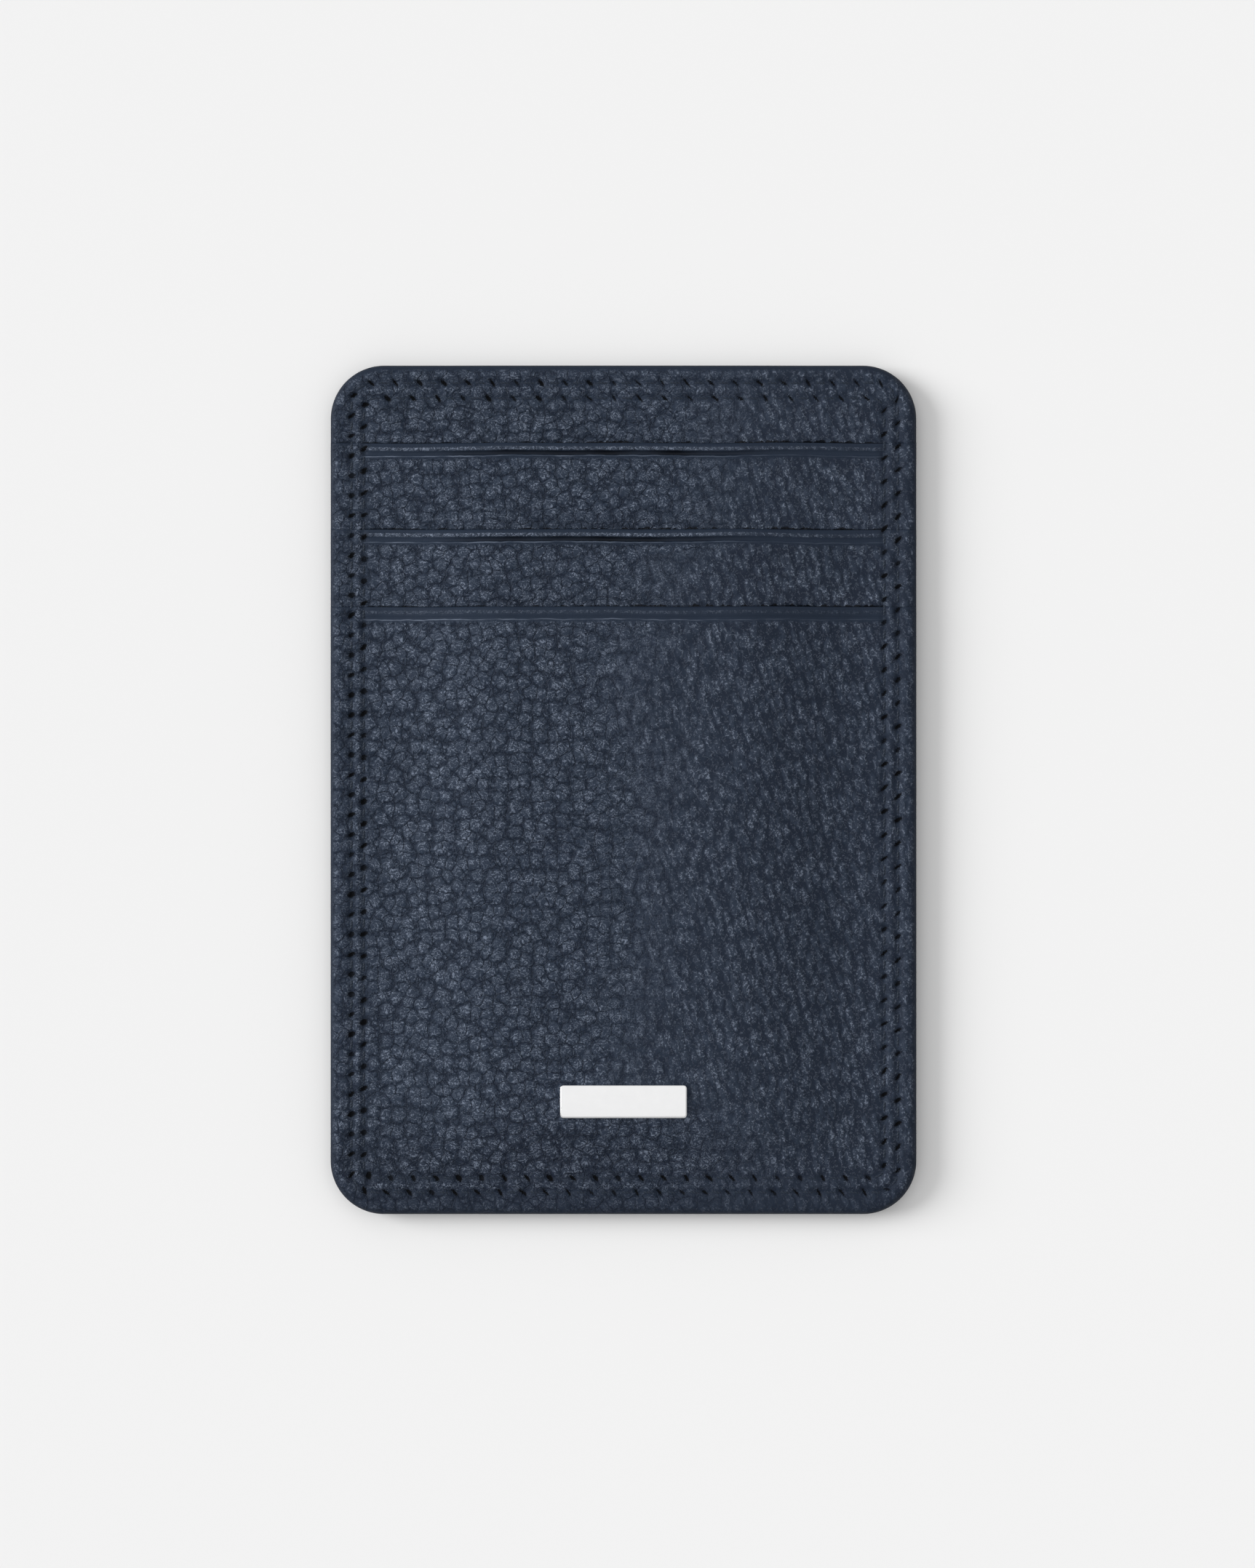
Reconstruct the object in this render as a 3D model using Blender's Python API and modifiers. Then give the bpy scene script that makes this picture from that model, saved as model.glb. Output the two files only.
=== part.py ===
"""Card holder: a sewn stack of leather and lining plies with three open card pockets.

The holder lies on its back. X runs across it, Y towards the top edge, Z out of the front.
Z = 0 is the back cover's resting face. Each pocket is the gap between two plies, open at
its upper edge; the plies come together in the stitched margin round the outline.
"""

import math

import bmesh
import bpy

MM = 0.001

# Outline
WIDTH = 69.0 * MM
HEIGHT = 100.0 * MM
CORNER_RADIUS = 6.3 * MM
CORNER_SEGMENTS = 6

# Pocket mouths, measured down from the top edge
EDGE_1 = 9.2 * MM
EDGE_2 = 19.4 * MM
EDGE_3 = 28.5 * MM
TUCK = 8.0 * MM            # how far a leather strip runs on beneath the next panel
SEAM_1 = 87.1 * MM         # bottom seam of the first pocket
SEAM_2 = 91.4 * MM         # bottom seam of the second pocket

# Plies
COVER = 0.8 * MM           # back cover and front panel leather
STRIP = 0.6 * MM           # top panel and slot leather
LINING = 0.2 * MM
BOARD = 0.6 * MM
RIM_ROUND = 0.14 * MM      # rounding of the leather's turned rims
CARD_ROOM = 0.9 * MM       # a 0.76 mm card with clearance
GAP = 0.3 * MM             # between plies that touch

# Seam margin round the outline
MARGIN = 5.0 * MM          # flat, sewn width
POCKET_HALF = 27.3 * MM    # half width of each pocket's flat middle, for a 53.98 mm card
END_RAMP = 1.4 * MM        # length of the slope at the top and bottom seams
COVER_RAMP = 1.2 * MM
BACK_MARGIN_LIFT = 0.7 * MM

# Stitch rows
ROW_OUTER = 2.4 * MM
ROW_INNER = 4.0 * MM
THREAD_RADIUS = 0.18 * MM
SEAM_THREAD_RADIUS = 0.14 * MM

# Plate
PLATE_SIZE = (14.9 * MM, 3.9 * MM, 0.5 * MM)
PLATE_CENTRE_Y = -36.5 * MM
PLATE_CORNER = 0.4 * MM
POST_RADIUS = 0.45 * MM
POST_X = 5.0 * MM
POST_INSET = 0.1 * MM      # post ends stay this far inside the leather

# Heights of the undersides of the plies over the middle, from the back up
Z_BOARD = COVER + GAP
Z_BASE = Z_BOARD + BOARD + GAP
Z_SLOT_1 = Z_BASE + STRIP + CARD_ROOM
Z_SLOT_2 = Z_SLOT_1 + STRIP + CARD_ROOM
Z_FRONT_LINING = Z_SLOT_2 + STRIP + CARD_ROOM
Z_FRONT = Z_FRONT_LINING + LINING + GAP
Z_MARGIN_TOP = Z_BASE + STRIP

HALF_W = WIDTH / 2
HALF_H = HEIGHT / 2
MARGIN_X = HALF_W - MARGIN
MARGIN_Y = HALF_H - MARGIN

LEATHER = (0.038, 0.050, 0.073)
FABRIC = (0.012, 0.014, 0.020)
THREAD = (0.030, 0.040, 0.062)
FIBREBOARD = (0.23, 0.17, 0.11)
METAL = (0.83, 0.83, 0.84)


def clear_scene():
    for obj in list(bpy.data.objects):
        bpy.data.objects.remove(obj, do_unlink=True)


def collection(name):
    found = bpy.data.collections.new(name)
    bpy.context.scene.collection.children.link(found)
    return found


def principled(name, colour, roughness, metallic=0.0):
    material = bpy.data.materials.new(name)
    material.use_nodes = True
    shader = material.node_tree.nodes["Principled BSDF"]
    shader.inputs["Base Color"].default_value = (*colour, 1.0)
    shader.inputs["Roughness"].default_value = roughness
    shader.inputs["Metallic"].default_value = metallic
    return material


def add_object(name, bm, material, home):
    """Makes an object of a bmesh, in the collection home."""
    mesh = bpy.data.meshes.new(name)
    bm.normal_update()
    bm.to_mesh(mesh)
    bm.free()
    obj = bpy.data.objects.new(name, mesh)
    home.objects.link(obj)
    if material:
        mesh.materials.append(material)
    return obj


def cutter(name, bm, home):
    obj = add_object(name, bm, None, home)
    obj.hide_render = True
    obj.display_type = "WIRE"
    return obj


def rounded_block(x_half, y_low, y_high, z_low, z_high, radius, segments=CORNER_SEGMENTS):
    """A box with its four upright edges rounded."""
    bm = bmesh.new()
    bmesh.ops.create_cube(bm, size=1.0)
    bmesh.ops.scale(bm, vec=(2 * x_half, y_high - y_low, z_high - z_low), verts=bm.verts)
    middle = (0.0, (y_low + y_high) / 2, (z_low + z_high) / 2)
    bmesh.ops.translate(bm, vec=middle, verts=bm.verts)
    upright = [
        edge for edge in bm.edges
        if abs(edge.verts[0].co.z - edge.verts[1].co.z) > 0.5 * (z_high - z_low)
    ]
    bmesh.ops.bevel(
        bm, geom=upright, offset=radius, segments=segments, profile=0.5, affect="EDGES"
    )
    return bm


def ramp(value, start, end):
    """0 at start, 1 at end, in a straight line between them."""
    return min(max((value - start) / (end - start), 0.0), 1.0)


def grid(xs, ys, height, keep):
    """An open grid on the lines xs and ys, at height(x, y), with the cells that keep allows."""
    bm = bmesh.new()
    columns, rows = len(xs) - 1, len(ys) - 1
    bmesh.ops.create_grid(bm, x_segments=columns, y_segments=rows, size=1.0)
    for vert in bm.verts:
        x = xs[round((vert.co.x + 1) / 2 * columns)]
        y = ys[round((vert.co.y + 1) / 2 * rows)]
        vert.co = (x, y, height(x, y))
    spare = []
    for face in bm.faces:
        centre = face.calc_center_median()
        if not keep(centre.x, centre.y):
            spare.append(face)
    bmesh.ops.delete(bm, geom=spare, context="FACES")
    return bm


def thicken(obj, thickness):
    """Gives an open ply its thickness, upwards."""
    solidify = obj.modifiers.new("Thickness", "SOLIDIFY")
    solidify.thickness = thickness
    solidify.offset = 1.0
    solidify.use_even_offset = True


def boolean(obj, other, operation):
    modifier = obj.modifiers.new(operation.title(), "BOOLEAN")
    modifier.operation = operation
    modifier.solver = "EXACT"
    modifier.object = other


def round_rims(obj):
    """Rounds a leather ply's square rims, and leaves its bends as they are."""
    bevel = obj.modifiers.new("Rims", "BEVEL")
    bevel.width = RIM_ROUND
    bevel.segments = 2
    bevel.limit_method = "ANGLE"
    bevel.angle_limit = math.radians(80)
    bevel.use_clamp_overlap = True


def side_lines():
    """Grid lines across the holder: outline, margin and pocket edges."""
    return [-HALF_W, -MARGIN_X, -POCKET_HALF, POCKET_HALF, MARGIN_X, HALF_W]


def back_cover(home, cutters, material):
    reach = MARGIN_X - COVER_RAMP
    end = MARGIN_Y - COVER_RAMP
    xs = [-HALF_W, -MARGIN_X, -reach, reach, MARGIN_X, HALF_W]
    ys = [-HALF_H, -MARGIN_Y, -end, end, MARGIN_Y, HALF_H]

    def height(x, y):
        side = ramp(abs(x), reach, MARGIN_X)
        top = ramp(abs(y), end, MARGIN_Y)
        return BACK_MARGIN_LIFT * max(side, top)

    obj = add_object("back_cover", grid(xs, ys, height, lambda x, y: True), material, home)
    thicken(obj, COVER)
    boolean(obj, cutters["outline"], "INTERSECT")
    round_rims(obj)
    return obj


def top_panel(home, cutters, material):
    """Flat strip with wings in the seams and a narrower tail under the first pocket's edge."""
    wing_end = HALF_H - EDGE_1 + GAP
    tail_end = HALF_H - EDGE_1 - TUCK
    xs = side_lines()
    ys = [tail_end, wing_end, HALF_H]

    def keep(x, y):
        return y > wing_end or abs(x) < POCKET_HALF

    obj = add_object("top_panel", grid(xs, ys, lambda x, y: Z_BASE, keep), material, home)
    thicken(obj, STRIP)
    boolean(obj, cutters["outline"], "INTERSECT")
    round_rims(obj)
    return obj


def slot_panel(name, edge, next_edge, level, home, material):
    """A pocket's leather strip: its wings lie in the side seams, its middle is raised by the
    pocket, and its tail runs on beneath the next panel."""
    mouth = HALF_H - edge
    wing_end = HALF_H - next_edge + GAP
    tail_end = HALF_H - next_edge - TUCK
    xs = side_lines()
    ys = [tail_end, wing_end, mouth]

    def height(x, y):
        return Z_BASE + (level - Z_BASE) * (1 - ramp(abs(x), POCKET_HALF, MARGIN_X))

    def keep(x, y):
        return y > wing_end or abs(x) < POCKET_HALF

    obj = add_object(name, grid(xs, ys, height, keep), material, home)
    thicken(obj, STRIP)
    round_rims(obj)
    return obj


def front_panel(home, cutters, material):
    """The large front panel: a shallow tray, open at its upper edge."""
    mouth = HALF_H - EDGE_3
    xs = side_lines()
    ys = [-HALF_H, -MARGIN_Y, -MARGIN_Y + END_RAMP, mouth]
    low = Z_MARGIN_TOP - COVER

    def height(x, y):
        side = 1 - ramp(abs(x), POCKET_HALF, MARGIN_X)
        end = ramp(y, -MARGIN_Y, -MARGIN_Y + END_RAMP)
        return low + (Z_FRONT - low) * min(side, end)

    obj = add_object("front_panel", grid(xs, ys, height, lambda x, y: True), material, home)
    thicken(obj, COVER)
    boolean(obj, cutters["outline"], "INTERSECT")
    for post_hole in cutters["post_holes"]:
        boolean(obj, post_hole, "DIFFERENCE")
    round_rims(obj)
    return obj


def flat_ply(name, y_low, y_high, z_low, thickness, radius, home, material):
    bm = rounded_block(POCKET_HALF, y_low, y_high, z_low, z_low + thickness, radius, 3)
    return add_object(name, bm, material, home)


def cylinder(radius, x, y, z_low, z_high, segments=16):
    bm = bmesh.new()
    bmesh.ops.create_cone(
        bm, cap_ends=True, segments=segments, radius1=radius, radius2=radius,
        depth=z_high - z_low,
    )
    bmesh.ops.translate(bm, vec=(x, y, (z_low + z_high) / 2), verts=bm.verts)
    return bm


def name_plate(home, tools, material):
    """A blank plate with softened edges, and two posts that pass through the leather."""
    length, width, thickness = PLATE_SIZE
    bottom = Z_FRONT + COVER + GAP
    bm = rounded_block(
        length / 2, PLATE_CENTRE_Y - width / 2, PLATE_CENTRE_Y + width / 2,
        bottom, bottom + thickness, PLATE_CORNER, 4,
    )
    plate = add_object("name_plate", bm, material, home)
    for side in (-1, 1):
        post = cutter(
            "post_left" if side < 0 else "post_right",
            cylinder(
                POST_RADIUS, side * POST_X, PLATE_CENTRE_Y,
                Z_FRONT + POST_INSET, bottom + thickness / 2,
            ),
            tools,
        )
        boolean(plate, post, "UNION")
    return plate


def ring_points(inset, z):
    """Points of a rounded rectangle, inset from the outline."""
    radius = CORNER_RADIUS - inset
    points = []
    for quarter in range(4):
        start = quarter * math.pi / 2
        centre_x = (HALF_W - CORNER_RADIUS) * (1 if quarter in (0, 3) else -1)
        centre_y = (HALF_H - CORNER_RADIUS) * (1 if quarter in (0, 1) else -1)
        for step in range(CORNER_SEGMENTS + 1):
            angle = start + step * (math.pi / 2) / CORNER_SEGMENTS
            points.append((
                centre_x + radius * math.cos(angle),
                centre_y + radius * math.sin(angle),
                z,
            ))
    return points


def thread(name, points, radius, cyclic, home, material):
    """A run of thread as a round curve."""
    curve = bpy.data.curves.new(name, "CURVE")
    curve.dimensions = "3D"
    curve.bevel_depth = radius
    curve.bevel_resolution = 1
    curve.use_fill_caps = True
    spline = curve.splines.new("POLY")
    spline.points.add(len(points) - 1)
    for point, place in zip(spline.points, points):
        point.co = (*place, 1.0)
    spline.use_cyclic_u = cyclic
    obj = bpy.data.objects.new(name, curve)
    obj.data.materials.append(material)
    home.objects.link(obj)
    return obj


def stitching(home, needle, bobbin):
    front_z = Z_MARGIN_TOP + GAP + THREAD_RADIUS
    back_z = BACK_MARGIN_LIFT - GAP - THREAD_RADIUS
    for row, inset in (("outer", ROW_OUTER), ("inner", ROW_INNER)):
        thread(
            f"front_{row}_stitching", ring_points(inset, front_z), THREAD_RADIUS, True,
            home, needle,
        )
        thread(
            f"back_{row}_stitching", ring_points(inset, back_z), THREAD_RADIUS, True,
            home, bobbin,
        )


def bottom_seam(name, depth, z_low, z_high, home, material):
    """The seam across a pocket's foot, in the gap between its two walls."""
    y, z = HALF_H - depth, (z_low + z_high) / 2
    ends = [(-POCKET_HALF, y, z), (POCKET_HALF, y, z)]
    return thread(name, ends, SEAM_THREAD_RADIUS, False, home, material)


def make_cutters(tools):
    outline = cutter(
        "outline",
        rounded_block(HALF_W, -HALF_H, HALF_H, -5 * MM, 15 * MM, CORNER_RADIUS),
        tools,
    )
    post_holes = []
    for side in (-1, 1):
        bm = cylinder(
            POST_RADIUS + GAP, side * POST_X, PLATE_CENTRE_Y, Z_FRONT - 1 * MM,
            Z_FRONT + COVER + 1 * MM,
        )
        post_holes.append(cutter("hole_left" if side < 0 else "hole_right", bm, tools))
    return {"outline": outline, "post_holes": post_holes}


def main():
    clear_scene()
    home = collection("card_holder")
    tools = collection("cutters")
    leather = principled("leather", LEATHER, 0.55)
    fabric = principled("lining_fabric", FABRIC, 0.85)
    needle = principled("thread", THREAD, 0.6)
    board = principled("board", FIBREBOARD, 0.9)
    metal = principled("plate_metal", METAL, 0.14, 1.0)

    cutters = make_cutters(tools)
    tail_1 = HALF_H - EDGE_1 - TUCK - GAP
    tail_2 = HALF_H - EDGE_2 - TUCK - GAP
    tail_3 = HALF_H - EDGE_3 - TUCK - GAP
    foot = -MARGIN_Y + END_RAMP + GAP

    back_cover(home, cutters, leather)
    flat_ply(
        "back_stiffener", -MARGIN_Y + 1.8 * MM, MARGIN_Y - 1.8 * MM, Z_BOARD, BOARD,
        2 * MM, home, board,
    )
    flat_ply("base_lining", foot, tail_1, Z_BASE, LINING, 1 * MM, home, fabric)
    top_panel(home, cutters, leather)
    slot_panel("slot_1_panel", EDGE_1, EDGE_2, Z_SLOT_1, home, leather)
    flat_ply(
        "slot_1_lining", HALF_H - SEAM_1 - 1 * MM, tail_2, Z_SLOT_1, LINING, 1 * MM,
        home, fabric,
    )
    slot_panel("slot_2_panel", EDGE_2, EDGE_3, Z_SLOT_2, home, leather)
    flat_ply(
        "slot_2_lining", HALF_H - SEAM_2 - 1 * MM, tail_3, Z_SLOT_2, LINING, 1 * MM,
        home, fabric,
    )
    front_panel(home, cutters, leather)
    lining_half = HALF_H - EDGE_3 - 2 * MM
    flat_ply(
        "front_lining", foot + 0.4 * MM, lining_half, Z_FRONT_LINING, LINING, 1 * MM,
        home, fabric,
    )
    name_plate(home, tools, metal)
    stitching(home, needle, needle)
    bottom_seam("slot_1_seam", SEAM_1, Z_BASE + LINING, Z_SLOT_1, home, needle)
    bottom_seam("slot_2_seam", SEAM_2, Z_SLOT_1 + LINING, Z_SLOT_2, home, needle)


main()
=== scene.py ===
"""Card holder in pebbled leather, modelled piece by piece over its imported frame.

X runs across the holder, Y towards its top edge and Z out of its front; the back rests at
Z = 0. The leather plies are fine grids shaped by height functions: the panels rise from the
sewn margin over the card pockets, and each pocket mouth is a turned and creased edge.
"""

import functools
import math

import bmesh
import bpy
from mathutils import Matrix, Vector, noise


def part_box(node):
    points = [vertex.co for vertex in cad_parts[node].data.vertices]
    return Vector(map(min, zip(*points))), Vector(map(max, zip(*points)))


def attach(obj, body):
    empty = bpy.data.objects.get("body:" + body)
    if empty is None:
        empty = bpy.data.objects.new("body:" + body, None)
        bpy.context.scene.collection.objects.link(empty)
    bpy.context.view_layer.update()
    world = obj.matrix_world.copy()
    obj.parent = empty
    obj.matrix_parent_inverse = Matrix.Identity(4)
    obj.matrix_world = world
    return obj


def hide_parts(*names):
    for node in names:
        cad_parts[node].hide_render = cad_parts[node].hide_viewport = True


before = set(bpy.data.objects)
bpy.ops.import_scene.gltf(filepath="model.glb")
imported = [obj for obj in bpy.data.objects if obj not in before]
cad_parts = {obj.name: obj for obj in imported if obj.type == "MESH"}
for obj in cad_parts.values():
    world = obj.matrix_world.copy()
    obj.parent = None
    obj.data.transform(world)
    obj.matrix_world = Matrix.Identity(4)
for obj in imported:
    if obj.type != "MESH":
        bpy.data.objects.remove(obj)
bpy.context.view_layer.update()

bl_info = {
    "name": "Pebbled Card Holder",
    "version": (1, 0, 0),
    "blender": (4, 5, 0),
    "location": "3D View > Sidebar > Card Holder",
    "description": "Leather, lining, stitching and plate of a card holder over its frame",
    "category": "Add Mesh",
}

MM = 0.001

# The outline and the pocket mouths come from the frame.
HALF_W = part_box("back_cover")[1].x
HALF_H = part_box("back_cover")[1].y
CORNER = 6.3 * MM
STRAIGHT_X = HALF_W - CORNER
STRAIGHT_Y = HALF_H - CORNER
PANELS = ("top_panel", "slot_1_panel", "slot_2_panel", "front_panel")
MOUTHS = (None, *(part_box(name)[1].y for name in PANELS[1:]))
TAILS = tuple(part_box(name)[0].y for name in PANELS[:3])
TAIL_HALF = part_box("base_lining")[1].x

# Heights of each panel's face, in the sewn margin and over the pockets.
MARGIN_Z = (2.60 * MM, 2.68 * MM, 2.76 * MM, 2.84 * MM)
MIDDLE_Z = (2.60 * MM, 3.50 * MM, 4.40 * MM, 5.40 * MM)
PLY = (0.60 * MM, 0.60 * MM, 0.60 * MM, 0.75 * MM)
JOIN_Z = 1.70 * MM         # where front and back leather meet in the seam
BACK_PLY = 0.80 * MM
BACK_EDGE_Z = 0.70 * MM
BACK_REST = 5.6 * MM       # inset from which the back lies flat, past its ramp
BACK_RAMP = 4.0 * MM

WING_LAP = 2.5 * MM        # how far a panel's wings run under the next panel
RAMP_START = 4.6 * MM      # inset at which a panel begins to rise
RAMP = 17.0 * MM
FOOT_RAMP = 7.5 * MM
WORKED_HALF = 30.3 * MM    # how far either side of the middle a mouth's edge is turned

OUTER_ROW_CORNER = 2.6 * MM
INNER_ROW_CORNER = 1.5 * MM

# Beads and grooves pressed along the outline or a mouth: height, distance in and half-width.
RIM_BEAD = (0.10 * MM, 1.20 * MM, 0.55 * MM)
SLOT_BEAD = (0.13 * MM, 0.60 * MM, 0.22 * MM)
FRONT_BEAD = (0.05 * MM, 0.50 * MM, 0.22 * MM)
FRONT_CREASE = (-0.07 * MM, 1.28 * MM, 0.13 * MM)
FRONT_LIP = (0.03 * MM, 1.50 * MM, 0.12 * MM)
# The bead between the rows, and the channels of the rows: least and most, then half-width.
ROW_BEAD = (0.03 * MM, 0.14 * MM, 0.36 * MM)
ROW_BEAD_IN = 0.78 * MM    # how far in from the outer row
CHANNEL = (0.10 * MM, 0.30 * MM, 0.36 * MM)
# Where along its mouth each slot's crease bites most, and how far to either side.
CREASES = {1: (-2.5 * MM, 18 * MM), 2: (-3.5 * MM, 15 * MM)}

# Grid lines, as distances in millimetres from the outline and from a pocket mouth.
NEAR_OUTLINE = (
    0, 0.03, 0.10, 0.22, 0.38, 0.58, 0.82, 1.10, 1.40, 1.68, 1.92, 2.14, 2.36, 2.58, 2.82,
    3.10, 3.38, 3.62, 3.84, 4.06, 4.30, 4.58,
)
NEAR_MOUTH = (
    0, 0.03, 0.08, 0.15, 0.24, 0.34, 0.46, 0.60, 0.74, 0.86, 0.96, 1.06, 1.18, 1.30, 1.39,
    1.45, 1.50, 1.56, 1.64, 1.78, 1.96, 2.20,
)
FACE_STEP = 0.36 * MM
BACK_STEP = 0.45 * MM


# ---------------------------------------------------------------- settings


def distance(name, description, default, low, high):
    return bpy.props.FloatProperty(
        name=name, description=description, default=default * MM, min=low * MM,
        max=high * MM, subtype="DISTANCE", unit="LENGTH",
    )


def four_lengths(name, description, *default):
    return bpy.props.FloatVectorProperty(
        name=name, description=description, default=tuple(side * MM for side in default),
        size=4, unit="LENGTH",
    )


def tint(name, description, *default):
    return bpy.props.FloatVectorProperty(
        name=name, description=description, default=default, size=3, min=0, max=1,
        subtype="COLOR",
    )


class CardHolderSizes(bpy.types.PropertyGroup):
    """Sizes that a maker would change."""

    outer_row: four_lengths(
        "Outer row", "Insets of the outer stitch row at the left, right, bottom and top",
        2.5, 2.2, 2.6, 2.1,
    )
    inner_row: four_lengths(
        "Inner row", "Insets of the inner stitch row at the left, right, bottom and top",
        3.95, 3.8, 4.3, 3.9,
    )
    outer_pitch: four_lengths(
        "Outer stitch", "Stitch length of the outer row at the right, top, left and bottom",
        2.75, 2.86, 2.35, 2.68,
    )
    inner_pitch: four_lengths(
        "Inner stitch", "Stitch length of the inner row at the right, top, left and bottom",
        2.78, 2.97, 2.60, 2.68,
    )
    thread: distance("Thread", "Diameter of the sewing thread", 0.46, 0.2, 0.8)
    crease_inset: distance(
        "Crease inset", "Distance of the hot crease from a pocket's edge", 1.48, 1, 3
    )
    crease_depth: distance(
        "Crease depth", "Depth of the hot crease where it bites most", 0.34, 0, 0.5
    )
    pebble_height: distance(
        "Pebble height", "Height of the grain's pebbles over its valleys", 0.11, 0, 0.3
    )
    grain_size: distance(
        "Grain size", "Width of one pebble of the leather's grain", 1.5, 0.5, 3
    )
    plate_thickness: distance("Plate thickness", "Thickness of the metal plate", 0.6, 0.3, 1)


class CardHolderColours(bpy.types.PropertyGroup):
    """Colours that a maker would change."""

    leather: tint("Leather", "Ground colour of the leather", 0.0138, 0.0224, 0.0400)
    # The valley colour is painted shade: it darkens grain valleys, creases, needle holes and
    # their dimples, the line under each mouth, the foot, the fine right side and, with dark edge
    # paint, the outline.
    groove: tint("Grain valleys", "Colour in the valleys of the grain", 0.0060, 0.0105, 0.0220)
    # Colour of the highlights painted on the wrinkles, the puffs between the rows and the mouths'
    # beads and lips.
    painted_highlight: tint("Waxed wrinkles", "Colour of the highest, burnished wrinkles", 0.176, 0.210, 0.278)
    thread: tint("Thread", "Colour of the sewing thread", 0.0130, 0.0205, 0.0350)
    lining: tint("Lining", "Colour of the woven lining", 0.012, 0.015, 0.022)
    plate: tint("Plate", "Colour of the polished plate", 0.90, 0.90, 0.905)
    board: tint("Board", "Colour of the stiffening board", 0.23, 0.17, 0.11)
    floor: tint("Floor", "Colour of the studio floor", 0.815, 0.815, 0.815)


def sizes():
    return bpy.context.scene.card_holder_sizes


def colours():
    return bpy.context.scene.card_holder_colours


# ---------------------------------------------------------------- plain sums


def smooth(value):
    """0 below 0, 1 above 1, and an even S between."""
    value = min(max(value, 0.0), 1.0)
    return value * value * (3 - 2 * value)


def hump(value, middle, width):
    """A bell of height 1."""
    return math.exp(-(((value - middle) / width) ** 2))


def ridge(value, height, middle, width):
    """The height of a bead, or of a groove where its height is below 0."""
    return height * hump(value, middle, width)


def mix(first, second, share):
    return first + (second - first) * share


def roll(value, radius):
    """How far a rounded edge has dropped, as a share of its radius, this far in from it."""
    if value >= radius:
        return 0.0
    return 1 - math.sqrt(max(1 - (1 - value / radius) ** 2, 0.0))


def inset_of(x, y):
    """Distance in from the holder's rounded outline."""
    u, v = abs(x) - STRAIGHT_X, abs(y) - STRAIGHT_Y
    if u > 0 and v > 0:
        return CORNER - math.hypot(u, v)
    return CORNER - max(u, v)


def to_outline(x, y):
    """Draws a square corner's grid in to the round corner."""
    u, v = abs(x) - STRAIGHT_X, abs(y) - STRAIGHT_Y
    if u <= 0 or v <= 0:
        return x, y
    half = 2 * CORNER * CORNER
    new_u = u * math.sqrt(max(1 - v * v / half, 0.0))
    new_v = v * math.sqrt(max(1 - u * u / half, 0.0))
    return math.copysign(STRAIGHT_X + new_u, x), math.copysign(STRAIGHT_Y + new_v, y)


class Row:
    """A stitch row: a rounded rectangle with its own stitch length on each side.

    Phases count stitches anticlockwise from the foot of the right side.
    """

    def __init__(self, insets, corner, pitches):
        left, right, low, high = insets
        self.mid_x, self.mid_y = (left - right) / 2, (low - high) / 2
        self.corner = corner
        self.straight_x = HALF_W - (left + right) / 2 - corner
        self.straight_y = HALF_H - (low + high) / 2 - corner
        self.arc = math.pi / 2 * corner
        self.lengths = [2 * self.straight_y, 2 * self.straight_x] * 2
        counts = []
        for turn, length in enumerate(self.lengths):
            after = (pitches[turn] + pitches[(turn + 1) % 4]) / 2
            counts += [length / pitches[turn], self.arc / after]
        self.count = round(sum(counts))
        scale = self.count / sum(counts)
        self.counts = [count * scale for count in counts]

    def place(self, phase):
        """(x, y, outward x, outward y) at a phase."""
        left = phase % self.count
        for part, count in enumerate(self.counts):
            if left <= count or part == 7:
                break
            left -= count
        turn, share = part // 2, min(left / count, 1.0)
        angle = turn * math.pi / 2
        if part % 2 == 0:
            out_x, out_y = round(math.cos(angle)), round(math.sin(angle))
            along = (share - 0.5) * self.lengths[turn]
            x = out_x * (self.straight_x + self.corner) - out_y * along
            y = out_y * (self.straight_y + self.corner) + out_x * along
        else:
            corner_x = self.straight_x * (1 if turn in (0, 3) else -1)
            corner_y = self.straight_y * (1 if turn in (0, 1) else -1)
            angle += share * math.pi / 2
            out_x, out_y = math.cos(angle), math.sin(angle)
            x, y = corner_x + self.corner * out_x, corner_y + self.corner * out_y
        return x + self.mid_x, y + self.mid_y, out_x, out_y

    def beyond(self, x, y):
        """Distance outward from the row."""
        u = abs(x - self.mid_x) - self.straight_x
        v = abs(y - self.mid_y) - self.straight_y
        return (math.hypot(u, v) if u > 0 and v > 0 else max(u, v)) - self.corner

    def phase(self, x, y):
        """The row's phase beside a point."""
        x, y = x - self.mid_x, y - self.mid_y
        u, v = abs(x) - self.straight_x, abs(y) - self.straight_y
        if u > 0 and v > 0:
            angle = math.atan2(v, u) / (math.pi / 2)
            if (x > 0) != (y > 0):
                angle = 1 - angle
            part = (1 if x > 0 else 3) if y > 0 else (5 if x < 0 else 7)
            share = angle
        elif u >= v:
            part = 0 if x > 0 else 4
            share = 0.5 + math.copysign(0.5, x) * y / self.straight_y
        else:
            part = 2 if y > 0 else 6
            share = 0.5 - math.copysign(0.5, y) * x / self.straight_x
        share = min(max(share, 0.0), 1.0)
        return sum(self.counts[:part]) + share * self.counts[part]


@functools.cache
def stitch_rows():
    """The outer and the inner row."""
    return (
        Row(sizes().outer_row, OUTER_ROW_CORNER, sizes().outer_pitch),
        Row(sizes().inner_row, INNER_ROW_CORNER, sizes().inner_pitch),
    )


def wander(x, y, length, seed):
    """Slow, even unevenness between about -1 and 1."""
    return noise.noise(Vector((x / length, y / length, seed)))


# ---------------------------------------------------------------- surfaces


def mouth_y(k, x):
    """The edge of panel k, which wanders a little."""
    if not k:
        return HALF_H + 10 * MM
    slack = 1 - smooth((abs(x) - 29 * MM) / (3 * MM))
    return MOUTHS[k] + 0.10 * MM * slack * wander(x, 0, 13 * MM, 3.7 * k)


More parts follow.
